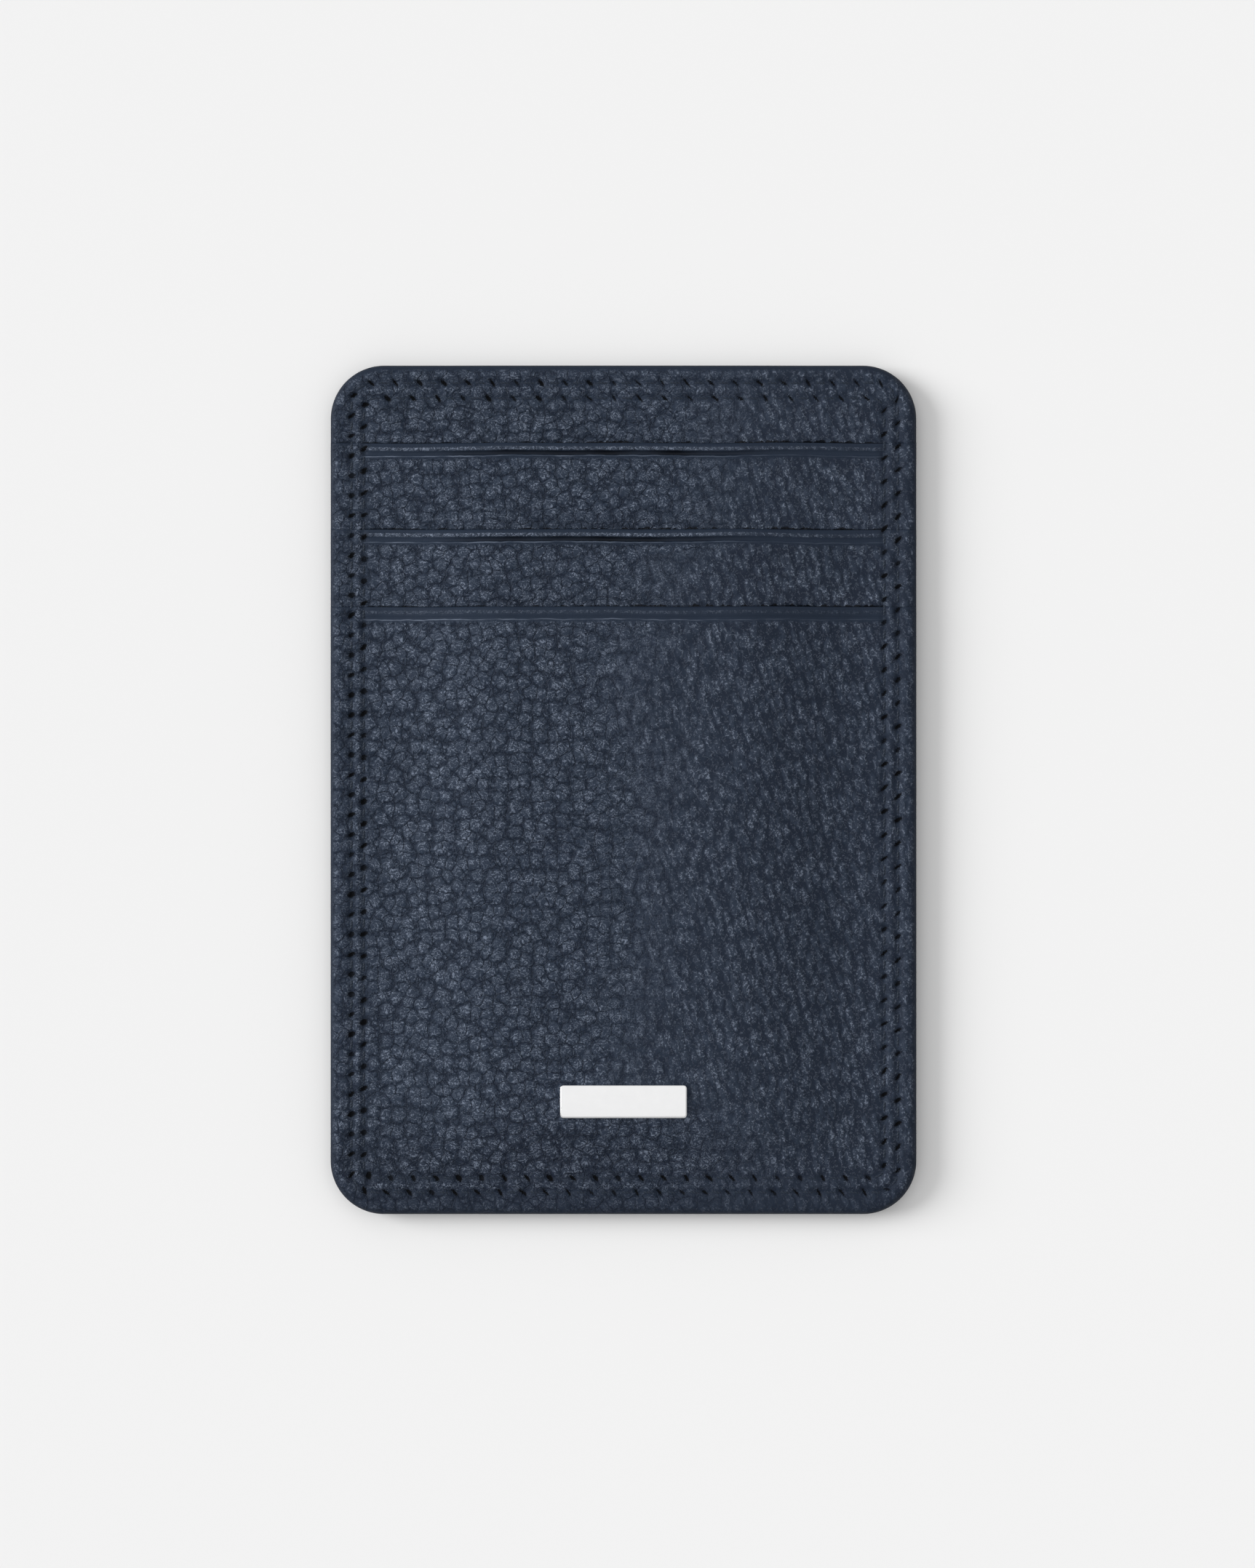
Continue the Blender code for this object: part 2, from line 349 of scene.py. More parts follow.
def rise(k, x, y):
    """0 in the sewn margin, 1 where the panel lies over its pocket."""
    side = smooth((HALF_W - RAMP_START - abs(x)) / RAMP)
    if k < 3:
        return side
    return side * smooth((y + HALF_H - RAMP_START) / FOOT_RAMP)


def seam_relief(x, y, depth):
    """The margin's shape across both stitch rows: bead, channels and turned edge."""
    inset = inset_of(x, y)
    if inset > 6 * MM:
        return 0.0
    relief = ridge(inset, *RIM_BEAD)
    outer, inner = stitch_rows()
    between = -outer.beyond(x, y)
    if 0 < between < 2 * MM:
        # The bead between the rows swells beside each stitch.
        least, most, width = ROW_BEAD
        swell = 0.5 - 0.5 * math.cos(2 * math.pi * inner.phase(x, y))
        relief += ridge(between, mix(least, most, swell), ROW_BEAD_IN, width)
    least, most, width = CHANNEL
    for row in (outer, inner):
        near = hump(row.beyond(x, y), 0, width)
        if near > 0.01:
            pull = 0.5 + 0.5 * math.cos(2 * math.pi * row.phase(x, y))
            relief -= near * mix(least, most, pull * pull)
    return relief - depth * roll(inset, 0.9 * MM)


def worked_span(x):
    """1 along a mouth's turned edge, 0 in the margins beside it."""
    return 1 - smooth((abs(x) - WORKED_HALF) / (0.6 * MM))


def crease_strength(k, x):
    """How hard the crease of panel k bites, from 0 to 1, along its mouth."""
    if k == 3:
        return 0.0
    middle, reach = CREASES[k]
    bite = smooth(1.45 - abs(x - middle) / reach)
    return bite * (0.78 + 0.40 * wander(x, 0, 4 * MM, 8.1 + k))


def mouth_relief(k, x, edge):
    """The turned edge of a mouth: rolled lip, bead, crease and its raised far lip."""
    if not k or edge > 4 * MM:
        return 0.0
    worked = worked_span(x)
    inset = sizes().crease_inset
    if k == 3:
        return worked * sum(
            ridge(edge, *shape) for shape in (FRONT_BEAD, FRONT_CREASE, FRONT_LIP)
        )
    groove = smooth((edge - 0.80 * MM) / (0.32 * MM))
    groove *= 1 - smooth((edge - inset + 0.10 * MM) / (0.10 * MM))
    depth = mix(0.06 * MM, sizes().crease_depth, crease_strength(k, x))
    lip = ridge(edge, 0.05 * MM, inset + 0.06 * MM, 0.08 * MM)
    return worked * (ridge(edge, *SLOT_BEAD) - depth * groove + lip)


def grain_strength(k, x, y):
    """How bold the grain is: full in the middle, pressed flat where leather is worked."""
    inset = inset_of(x, y) / MM
    plain = mix(0.12, 0.40, smooth((y - HALF_H + 2 * MM) / (1 * MM)))
    kept = smooth((inset - plain) / 0.45) * mix(0.85, 1.0, smooth((inset - 4.2) / 1.5))
    for row in stitch_rows():
        kept *= 1 - 0.50 * hump(row.beyond(x, y) / MM, 0, 0.30)
    edge = (mouth_y(k, x) - y) / MM if k else 9.0
    if edge < 2.6:
        pressed = smooth((edge - 0.36) / 0.2) * (1 - smooth((edge - 0.72) / 0.2))
        pressed = 0.75 * pressed if k < 3 else 0.3 * pressed
        free = smooth((edge - 1.62) / 0.40)
        kept *= mix(smooth(edge / 0.5), max(pressed, free), worked_span(x))
    return kept


def panel_body(k, x, y):
    """Height of panel k's face before its fine relief."""
    share = rise(k, x, y)
    z = mix(MARGIN_Z[k], MIDDLE_Z[k], share)
    if k == 3:
        along = min(max((MOUTHS[3] - y) / (MOUTHS[3] + HALF_H), 0), 1)
        dome = math.sin(math.pi * along) * (1 - (x / HALF_W) ** 2)
        z += share * (0.25 * MM * dome - 0.45 * MM * smooth(along))
        z += 0.08 * MM * share * wander(x, y, 17 * MM, 1.3)
    elif k:
        z += 0.05 * MM * share * wander(x, y, 12 * MM, 2.1 + k)
    return z


def panel_under(k, x, y):
    """Height of panel k's underside, skived where it laps over the wings of the one below."""
    share = rise(k, x, y)
    edge = mouth_y(k, x) - y
    lap = 0.36 * MM * (1 - smooth((edge - WING_LAP) / (0.8 * MM))) if k else 0
    z = mix(JOIN_Z + lap, panel_body(k, x, y) - PLY[k], share)
    return z + mix(0.02 * MM, 0.26 * MM, share) * roll(max(edge, 0), 0.3 * MM)


def panel_top(k, x, y):
    """Height of panel k's face with its turned edge, crease and seam."""
    share = rise(k, x, y)
    edge = max(mouth_y(k, x) - y, 0)
    z = panel_body(k, x, y) + mouth_relief(k, x, edge)
    if k:
        z -= mix(0.08 * MM, 0.33 * MM, share) * roll(edge, 0.36 * MM)
    z += seam_relief(x, y, 0.72 * MM)
    if k < 3 and y < mouth_y(k + 1, x):
        # A tail is pressed down by the next panel.
        z = min(z, panel_under(k + 1, x, y) - 0.03 * MM)
    return z


def tail_under(k, x, y):
    """Underside of panel k, kept below its own face where the next panel presses it."""
    z = panel_under(k, x, y)
    if k < 3 and y < mouth_y(k + 1, x):
        z = min(z, panel_top(k, x, y) - 0.33 * MM)
    return z


def has_leather(k, x, y):
    """Whether panel k reaches a point: its wings end soon under the next mouth, and its tail
    runs on down between them."""
    return k == 3 or y > MOUTHS[k + 1] - WING_LAP or abs(x) < TAIL_HALF


def panel_at(x, y):
    """Which panel shows at a point."""
    for k in (3, 2, 1):
        if y <= mouth_y(k, x):
            return k
    return 0


def back_rest(x, y):
    """1 where the back cover lies flat, 0 in the margin that is turned up into the seam."""
    side = smooth((HALF_W - BACK_REST - abs(x)) / BACK_RAMP)
    return side * smooth((HALF_H - BACK_REST - abs(y)) / BACK_RAMP)


def back_face(x, y):
    """Height of the back cover's outer face."""
    return BACK_EDGE_Z * (1 - back_rest(x, y)) - seam_relief(x, y, 0.5 * MM)


def back_inside(x, y):
    """Height of the back cover's inner face."""
    return mix(JOIN_Z - 0.04 * MM, BACK_PLY, back_rest(x, y))


# ---------------------------------------------------------------- meshes


def spaced(low, high, step):
    """Even values strictly between low and high."""
    count = max(int(round((high - low) / step)), 1)
    return [low + (high - low) * i / count for i in range(1, count)]


def across_lines(step):
    """Grid lines across the holder, close together in the sewn margins."""
    near = [d * MM for d in NEAR_OUTLINE]
    left = [-HALF_W + d for d in near]
    return left + spaced(left[-1], -left[-1], step) + [-x for x in reversed(left)]


def up_lines(low, high, low_near, high_near, step):
    """Grid lines up the holder, with close ones at either end."""
    first = [low + d * MM for d in low_near]
    last = [high - d * MM for d in reversed(high_near)]
    return first + spaced(first[-1], last[0], step) + last


def new_piece(name, bm, material, node):
    """Makes a finished piece of a bmesh: it rides on the holder and stands for its node."""
    mesh = bpy.data.meshes.new(name)
    bm.to_mesh(mesh)
    bm.free()
    mesh.shade_smooth()
    mesh.materials.append(material)
    piece = bpy.data.objects.new(name, mesh)
    bpy.context.scene.collection.objects.link(piece)
    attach(piece, "root")
    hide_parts(node)
    return piece


FAR = 99.0                 # stands for a mouth that isn't there, in millimetres


def mark_leather(bm, k, outer_side):
    """Stores what the leather's finish follows: where each corner lies along and beside the
    stitch rows, each point's distance in millimetres from the outline, from its own mouth and
    from the next one, how bold its grain is, how hard its crease bites and which way its
    pebbles rise. The back, whose k is None, has no mouth."""
    phases = bm.loops.layers.uv.new("phases")
    beside = bm.loops.layers.uv.new("beside")
    layers = {
        name: bm.verts.layers.float.new(name)
        for name in ("inset", "edge", "above", "grain", "crease", "puff")
    }
    rows = stitch_rows()
    known = {}
    for vert in bm.verts:
        x, y = vert.co.x, vert.co.y
        known[vert] = (
            [row.phase(x, y) for row in rows], [row.beyond(x, y) / MM for row in rows]
        )
        grain = grain_strength(k, x, y)
        covered = k is not None and k < 3
        vert[layers["inset"]] = inset_of(x, y) / MM
        vert[layers["edge"]] = (mouth_y(k, x) - y) / MM if k else FAR
        vert[layers["above"]] = (y - mouth_y(k + 1, x)) / MM if covered else FAR
        vert[layers["grain"]] = grain
        vert[layers["crease"]] = crease_strength(k, x) if k else 0.0
        vert[layers["puff"]] = grain * outer_side.get(vert, 0)
    for face in bm.faces:
        first = known[face.loops[0].vert][0]
        for loop in face.loops:
            here, off = known[loop.vert]
            # A face that crosses the start of a row keeps counting past its end.
            loop[phases].uv = [
                value + row.count * round((start - value) / row.count)
                for value, start, row in zip(here, first, rows)
            ]
            loop[beside].uv = off


def ply_mesh(xs, ys, keep, under, top, k, shown=1):
    """A closed ply between two heights over a grid; shown is -1 where its lower face shows."""
    bm = bmesh.new()
    columns, rows = len(xs) - 1, len(ys) - 1
    bmesh.ops.create_grid(bm, x_segments=columns, y_segments=rows, size=1.0)
    for vert in bm.verts:
        x = xs[round((vert.co.x + 1) / 2 * columns)]
        y = ys[round((vert.co.y + 1) / 2 * rows)]
        vert.co.x, vert.co.y = to_outline(x, y)
        vert.co.z = 0
    spare = [f for f in bm.faces if not keep(*f.calc_center_median().xy)]
    bmesh.ops.delete(bm, geom=spare, context="FACES")
    made = bmesh.ops.extrude_face_region(bm, geom=bm.faces[:])
    upper = {item for item in made["geom"] if isinstance(item, bmesh.types.BMVert)}
    outer_side = {}
    for vert in bm.verts:
        height = top if vert in upper else under
        vert.co.z = height(vert.co.x, vert.co.y)
        if (vert in upper) == (shown > 0):
            outer_side[vert] = shown
    bmesh.ops.recalc_face_normals(bm, faces=bm.faces[:])
    mark_leather(bm, k, outer_side)
    return bm


def swell_grain(piece):
    """Raises the grain's pebbles in the piece's mesh itself."""
    tree = bpy.data.node_groups.new("pebble_relief", "GeometryNodeTree")
    for way in ("INPUT", "OUTPUT"):
        tree.interface.new_socket("Leather", in_out=way, socket_type="NodeSocketGeometry")
    n = Nodes(tree)
    given, out = n.make("NodeGroupInput"), n.make("NodeGroupOutput")
    place = n.scale(n.make("GeometryNodeInputPosition").outputs[0], 1000.0)
    puff = n.fit(n.make("GeometryNodeInputNamedAttribute", data_type="FLOAT"), Name="puff")
    body = n.plus(pebbles(n, place)[0], -0.55)
    raised = n.times(body, puff.outputs["Attribute"], sizes().pebble_height)
    offset = n.make("ShaderNodeCombineXYZ", 0.0, 0.0, raised)
    move = n.make("GeometryNodeSetPosition")
    n.fit(move, Geometry=given.outputs[0], Offset=offset.outputs[0])
    n.feed(out.inputs[0], move.outputs[0])
    piece.modifiers.new("pebbles", "NODES").node_group = tree
    flat, graph = piece.data, bpy.context.evaluated_depsgraph_get()
    piece.data = bpy.data.meshes.new_from_object(piece.evaluated_get(graph))
    piece.data.name = piece.name
    piece.modifiers.clear()
    bpy.data.meshes.remove(flat)
    bpy.data.node_groups.remove(tree)


# ---------------------------------------------------------------- finishes


class Nodes:
    """Short hands for building a node tree."""

    def __init__(self, tree):
        self.tree = tree

    def make(self, kind, *values, **settings):
        """A node with these settings and these values in its first inputs."""
        node = self.tree.nodes.new(kind)
        for key, value in settings.items():
            setattr(node, key, value)
        for socket, value in zip(node.inputs, values):
            self.feed(socket, value)
        return node

    def feed(self, socket, value):
        if isinstance(value, bpy.types.NodeSocket):
            self.tree.links.new(value, socket)
        else:
            socket.default_value = value

    def fit(self, node, **values):
        """Feeds a node's inputs by name."""
        for name, value in values.items():
            self.feed(node.inputs[name], value)
        return node

    def math(self, operation, *values):
        return self.make("ShaderNodeMath", *values, operation=operation).outputs[0]

    def times(self, first, *others):
        for value in others:
            first = self.math("MULTIPLY", first, value)
        return first

    def plus(self, first, second):
        return self.math("ADD", first, second)

    def minus(self, first, second):
        return self.math("SUBTRACT", first, second)

    def most(self, first, *others):
        for value in others:
            first = self.math("MAXIMUM", first, value)
        return first

    def vector(self, operation, *values):
        return self.make("ShaderNodeVectorMath", *values, operation=operation).outputs[0]

    def scale(self, vector, factor):
        node = self.make("ShaderNodeVectorMath", vector, operation="SCALE")
        return self.fit(node, Scale=factor).outputs[0]

    def parts(self, vector):
        """A vector's X, Y and Z."""
        return self.make("ShaderNodeSeparateXYZ", vector).outputs

    def remap(self, value, low, high, new_low=0.0, new_high=1.0):
        """Passes smoothly from new_low to new_high while the value passes from low to high."""
        return self.make(
            "ShaderNodeMapRange", value, low, high, new_low, new_high,
            interpolation_type="SMOOTHSTEP",
        ).outputs[0]

    def band(self, value, low, full, fading, gone):
        """1 while the value is between full and fading, and 0 past low and gone."""
        return self.times(self.remap(value, low, full), self.remap(value, fading, gone, 1.0, 0.0))

    def mix(self, share, first, second, kind="FLOAT", socket=2, result=0):
        """The value that lies this share of the way from first to second."""
        node = self.make("ShaderNodeMix", share, data_type=kind, clamp_factor=True)
        self.feed(node.inputs[socket], first)
        self.feed(node.inputs[socket + 1], second)
        return node.outputs[result]

    def blend(self, share, first, second):
        """The same between two colours."""
        return self.mix(share, first, second, "RGBA", 6, 2)

    def noise(self, place, scale, detail=2.0, roughness=0.5, output="Fac", **more):
        node = self.make("ShaderNodeTexNoise", place)
        self.fit(node, Scale=scale, Detail=detail, Roughness=roughness, **more)
        return node.outputs[output]

    def cells(self, place, scale, randomness):
        """Distance from the middle of a cell, with soft sides."""
        node = self.make(
            "ShaderNodeTexVoronoi", place, feature="SMOOTH_F1", voronoi_dimensions="2D"
        )
        self.fit(node, Scale=scale, Randomness=randomness, Smoothness=0.35)
        return node.outputs["Distance"]

    def sides(self, place, scale, randomness):
        """Distance from the nearest side of a cell."""
        node = self.make(
            "ShaderNodeTexVoronoi", place, feature="DISTANCE_TO_EDGE", voronoi_dimensions="2D"
        )
        return self.fit(node, Scale=scale, Randomness=randomness).outputs["Distance"]


def new_group(name, inputs, *outputs):
    """An empty shader group. An input without a default is a vector; all else is a value."""
    tree = bpy.data.node_groups.new(name, "ShaderNodeTree")
    for label, default in inputs.items():
        kind = "NodeSocketVector" if default is None else "NodeSocketFloat"
        socket = tree.interface.new_socket(label, in_out="INPUT", socket_type=kind)
        if default is not None:
            socket.default_value = default
    for label in outputs:
        tree.interface.new_socket(label, in_out="OUTPUT", socket_type="NodeSocketFloat")
    n = Nodes(tree)
    return tree, n, n.make("NodeGroupInput").outputs, n.make("NodeGroupOutput")


def use_group(n, name, build, **values):
    """Places a group, which is built on first use, and feeds its inputs."""
    tree = bpy.data.node_groups.get(name) or build()
    return n.fit(n.make("ShaderNodeGroup", node_tree=tree), **values).outputs


LITTLE = 2.1               # small pebbles to one bold pebble's width
FOOT, HEAD = -HALF_H / MM, HALF_H / MM


def pebbles(n, place):
    """Rounded pebbles, 1 on top and 0 in the valleys: bold on the left of the holder, and
    tall, small and shallow on its right. Gives the pebbles, their bent place, their fineness,
    the bold pebbles alone and the distance from their middles."""
    bold = MM / sizes().grain_size
    shift = n.vector("SUBTRACT", n.noise(place, 0.8, output="Color"), (0.5, 0.5, 0.5))
    bent = n.vector("ADD", place, n.scale(shift, 0.85))
    x, y, _ = n.parts(place)
    leaning = n.plus(x, n.math("MULTIPLY_ADD", n.noise(place, 0.10), 20.0, -10.0))
    # The low band under the plate and the slots keep their bold grain further across.
    low_band = n.remap(y, FOOT + 10.0, FOOT + 16.0, 9.0, 0.0)
    high_band = n.remap(y, 27.0, 28.5, 0.0, 8.0)
    fine = n.remap(n.minus(leaning, n.most(low_band, high_band)), -13.0, 19.0)
    away = n.cells(bent, bold, 0.85)
    big = n.remap(away, 0.20, 0.60, 1.0, 0.0)
    little = n.remap(n.cells(bent, LITTLE * bold, 0.9), 0.10, 0.55, 0.60, 0.0)
    turn = n.make("ShaderNodeVectorRotate", bent, rotation_type="Z_AXIS")
    n.fit(turn, Angle=math.radians(-16))
    tall = n.vector("MULTIPLY", turn.outputs[0], (1.50, 0.82, 1.0))
    upright = n.remap(n.cells(tall, bold, 0.9), 0.14, 0.58, 1.0, 0.0)
    return n.mix(fine, n.most(big, little), upright), bent, fine, big, away


def valley_lines(n, place, bent, big):
    """The thin lines that part the pebbles, fainter in places."""
    bold = MM / sizes().grain_size
    line = n.remap(n.sides(bent, bold, 0.85), 0.0, 0.065, 1.0, 0.0)
    line = n.times(line, n.remap(n.noise(place, 1.1, 2, 0.6), 0.36, 0.58, 0.25, 1.0))
    crack = n.remap(n.sides(bent, LITTLE * bold, 0.9), 0.0, 0.09, 0.55, 0.0)
    return n.most(line, n.times(crack, n.remap(big, 0.1, 0.6, 1.0, 0.0)))


def wrinkles(n, phase, place, scale, stir, cut, least):
    """Bright, winding strokes: they follow a phase stirred by a noise, show where their wave
    passes a cut and fade in places to the least share."""
    swirl = n.times(n.noise(place, scale, 3, 0.62), stir)
    wave = n.math("SINE", n.times(n.plus(phase, swirl), 2 * math.pi))
    breaks = n.remap(n.noise(place, 3.2, 2, 0.6), 0.38, 0.58, least, 1.0)
    return n.times(n.remap(wave, cut, 1.0), breaks)


def grain_group():
    """Pebbled grain: rounded pebbles with finely wrinkled tops, parted by thin valleys."""
    tree, n, given, out = new_group(
        "pebbled_grain", {"Place": None}, "Height", "Valley", "Spark", "Wrinkle", "Fine"
    )
    place = given["Place"]
    x, y, _ = n.parts(place)
    body, bent, fine, big, away = pebbles(n, place)
    lines = n.times(valley_lines(n, place, bent, big), n.remap(fine, 0, 1, 1.0, 0.10))
    # Fine wrinkles curl round each bold pebble; on the fine side they stand upright.
    curl = n.math("MULTIPLY_ADD", y, 1.6, n.times(away, 1.4))
    curls = wrinkles(n, curl, bent, 1.5, 5.2, -0.38, 0.26)
    upright = n.math("MULTIPLY_ADD", y, 0.30, x)
    elsewhere = n.vector("ADD", place, (31.0, 17.0, 0.0))
    strokes = wrinkles(n, upright, elsewhere, 2.3, 3.4, 0.0, 0.12)
    wrinkle = n.mix(n.remap(fine, 0.25, 0.85), curls, strokes)
    tops = n.times(
        n.mix(fine, n.remap(body, 0.12, 0.80), n.remap(body, 0.05, 0.9, 0.22, 1.0)),
        n.remap(lines, 0, 1, 1.0, 0.10),
        n.remap(n.noise(place, 0.42, 2, 0.6), 0.34, 0.60, 0.42, 1.0),
    )
    # Spark marks where highlights are painted on the wrinkled pebble tops, with a faint lift on
    # the tops; Valley marks where shade is painted in the valleys and low sides of the pebbles.
    spark = n.times(wrinkle, n.mix(tops, 0.17, 1.0), n.remap(fine, 0, 1, 0.80, 1.0))
    spark = n.most(spark, n.times(tops, n.remap(fine, 0, 1, 0.05, 0.09)))
    valley = n.most(n.remap(body, 0.0, 0.40, 0.65, 0.0), lines)
    height = n.math("MULTIPLY_ADD", wrinkle, 0.25, n.times(body, 0.7))
    height = n.minus(height, n.times(lines, 0.5))
    n.fit(out, Height=height, Valley=valley, Spark=spark, Wrinkle=wrinkle, Fine=fine)
    return tree


def needle_group():
    """Slanted needle holes of one stitch row, and the pull of its thread."""
    tree, n, given, out = new_group(
        "needle_holes",
        {"Phase": 0.0, "Across": 0.0, "Pitch": 2.75, "Length": 0.46, "Width": 0.18},
        "Hole", "Pull",
    )
    phase = n.minus(n.math("FRACT", n.plus(given["Phase"], 0.5)), 0.5)
    # Each hole has its own slant, length and width.
    chance = n.make("ShaderNodeTexWhiteNoise", noise_dimensions="1D")
    n.fit(chance, W=n.math("ROUND", given["Phase"]))
    turned, longer, wider = n.make("ShaderNodeSeparateColor", chance.outputs["Color"]).outputs
    slant = n.mix(turned, math.radians(34), math.radians(62))
    cosine, sine = n.math("COSINE", slant), n.math("SINE", slant)
    spot = n.make(
        "ShaderNodeCombineXYZ", n.times(given["Phase"], 9.0), n.times(given["Across"], 3.3)
    )
    ragged = n.math("MULTIPLY_ADD", n.noise(spot.outputs[0], 1.8, 2, 0.6), 0.62, -0.31)
    along, across = n.times(phase, given["Pitch"]), n.plus(given["Across"], ragged)
    u = n.plus(n.times(along, cosine), n.times(across, sine))
    v = n.minus(n.times(across, cosine), n.times(along, sine))
    u = n.math("DIVIDE", u, n.times(given["Length"], n.mix(longer, 0.72, 1.12)))
    v = n.math("DIVIDE", v, n.times(given["Width"], n.mix(wider, 0.75, 1.35)))
    away = n.math("SQRT", n.plus(n.times(u, u), n.times(v, v)))
    depth = n.mix(n.times(longer, 2.0), 0.75, 1.0)
    hole = n.times(depth, n.remap(away, 0.65, 1.2, 1.0, 0.0))
    n.fit(out, Hole=hole, Pull=n.remap(away, 0.7, 2.4, 1.0, 0.0))
    return tree


def weave_group():
    """Plain weave: crossing yarns that pass over and under."""
    tree, n, given, out = new_group(
        "plain_weave", {"Place": None, "Yarn": 0.35}, "Height", "Shade"
    )
    yarns = n.parts(n.scale(given["Place"], n.math("DIVIDE", 1.0, given["Yarn"])))
    waves = [n.math("SINE", n.times(yarns[axis], math.pi)) for axis in (0, 1)]
    warp, weft = (n.math("ABSOLUTE", wave) for wave in waves)
    height = n.mix(n.remap(n.times(*waves), -0.2, 0.2), warp, weft)
    slub = n.noise(given["Place"], 2.5, 3, 0.6)
    shade = n.math("MULTIPLY_ADD", height, 0.6, n.times(slub, 0.5))
    n.fit(out, Height=n.math("MULTIPLY_ADD", slub, 0.35, height), Shade=shade)
    return tree


def finish(build):
    """Turns a function that fills in a material into one that hands the material out: it is
    made the first time, under the function's name."""

    @functools.wraps(build)
    def hand_out():
        material = bpy.data.materials.get(build.__name__)
        if not material:
            material = bpy.data.materials.new(build.__name__)
            material.use_nodes = True
            build(Nodes(material.node_tree), material.node_tree.nodes["Principled BSDF"])
        return material

    return hand_out


def place_mm(n):
    """Object coordinates in millimetres."""
    return n.scale(n.make("ShaderNodeTexCoord").outputs["Object"], 1000.0)


def uv_map(n, name):
    return n.parts(n.make("ShaderNodeUVMap", uv_map=name).outputs[0])


def bump(n, height, distance):
    return n.fit(n.make("ShaderNodeBump"), Height=height, Distance=distance).outputs["Normal"]


def rgba(colour, factor=1.0):
    return (*(channel * factor for channel in colour), 1.0)


class Skin:
    """What the leather's finish goes by: the place in millimetres, the marks that are stored
    in the mesh, the grain, and how far out the mouths' edges are worked."""

    def __init__(self, n):
        self.n = n
        self.place = place_mm(n)
        self.x, self.y, _ = n.parts(self.place)
        self.inset, self.edge, self.above, self.bold, self.bite = (
            n.make("ShaderNodeAttribute", attribute_name=name).outputs["Fac"]
            for name in ("inset", "edge", "above", "grain", "crease")
        )
        self.phases, self.beside = uv_map(n, "phases"), uv_map(n, "beside")
        self.grain = use_group(n, "pebbled_grain", grain_group, Place=self.place)
        half = WORKED_HALF / MM
        self.worked = n.remap(n.math("ABSOLUTE", self.x), half - 0.5, half + 1.1, 1.0, 0.0)

    def uneven(self, scale, roughness):
        """Unevenness along a mouth's edge."""
        drawn = self.n.vector("MULTIPLY", self.place, (1.0, 0.2, 0.2))
        return self.n.noise(drawn, scale, 3, roughness)


def mouth_marks(skin):
    """The bead of a mouth, which takes painted highlights, its crease, painted dark with shade
    where it bites, and the lip beyond, which takes a painted glint.
    """
    n = skin.n
    drift = n.math("MULTIPLY_ADD", skin.uneven(0.33, 0.6), 0.44, -0.22)
    edge = n.plus(skin.edge, drift)
    bead = n.times(n.band(skin.edge, 0.40, 0.52, 0.72, 0.92), skin.worked)
    crease = n.times(n.band(edge, 0.80, 0.98, 1.36, 1.47), skin.worked, skin.bite)
    lip = n.times(n.band(edge, 1.42, 1.50, 1.52, 1.64), skin.worked)
    return bead, crease, lip


def needle_marks(skin):
    """The needle holes of both rows and the pull round them."""
    n = skin.n
    # The outer row's holes are finest along the foot.
    width = n.times(
        n.remap(skin.x, -28.0, 10.0, 0.25, 0.15),
        n.remap(skin.y, HEAD - 6.0, HEAD - 3.5, 1.0, 0.65),
        n.remap(skin.y, FOOT + 3.1, FOOT + 3.7, 0.62, 1.0),
    )
    rows = [
        use_group(
            n, "needle_holes", needle_group, Phase=skin.phases[index],
            Across=skin.beside[index], Pitch=sum(pitch) / 4 / MM, Width=width,
        )
        for index, pitch in enumerate((sizes().outer_pitch, sizes().inner_pitch))
    ]
    return [n.most(*(row[mark] for row in rows)) for mark in ("Hole", "Pull")]


def painted_highlight_marks(skin, bead, lip):
    """Where highlights are painted on the leather: on its highest wrinkles, on the puffs between
    the rows, and most on a mouth's bead, with a glint along its lip.
    """
    n, wrinkle = skin.n, skin.grain["Wrinkle"]
    # Highlights are painted on the wrinkles of the pebble tops, fainter towards the foot as
    # painted shade.
    highlight_share = n.times(
        skin.grain["Spark"], skin.bold, n.mix(skin.grain["Fine"], 1.0, 0.80),
        n.remap(skin.y, FOOT + 1.0, FOOT + 6.0, 0.45, 1.0),
    )
    # Leather puffs up between the rows, beside each stitch; highlights are painted on its
    # wrinkles there, fainter to the right.
    swell = n.math("COSINE", n.times(skin.phases[1], 2 * math.pi))
    between = n.math("ABSOLUTE", n.plus(skin.beside[0], 0.80))
    puffs = n.times(
        n.math("MULTIPLY_ADD", swell, -0.5, 0.5), n.remap(between, 0.10, 0.60, 1.0, 0.0),
        n.remap(skin.x, -20.0, 25.0, 0.85, 0.45),
    )
    # Highlights are painted on each mouth's bead, fainter on the front panel's bead and to the
    # right.
    bead_highlight = n.times(
        n.math("MULTIPLY_ADD", wrinkle, 0.85, 0.12),
        n.remap(skin.y, MOUTHS[3] / MM, MOUTHS[3] / MM + 0.6, 0.30, 1.0),
        n.remap(skin.x, 5.0, 25.0, 0.95, 0.45),
    )
    # A glint is painted along the lip beyond each crease, fainter to the right.
    glint = n.times(
        lip, n.remap(n.noise(skin.place, 0.35, 2, 0.6), 0.35, 0.65, 0.25, 1.0),
        n.remap(skin.x, -20.0, 25.0, 0.60, 0.12),
    )
    return n.most(highlight_share, n.times(wrinkle, puffs), n.times(bead, bead_highlight), glint)


def painted_contact_shadow(skin):
    """An uneven dark line of painted shadow where each panel goes under the next mouth, narrower
    on the left.
    """
    n = skin.n
    reach = n.remap(skin.uneven(0.75, 0.65), 0.44, 0.68, 0.02, 0.34)
    reach = n.times(reach, n.remap(skin.x, -14.0, 6.0, 0.45, 1.0))
    line = n.remap(n.minus(skin.above, reach), 0.0, 0.07, 0.92, 0.0)
    return n.times(line, skin.worked)


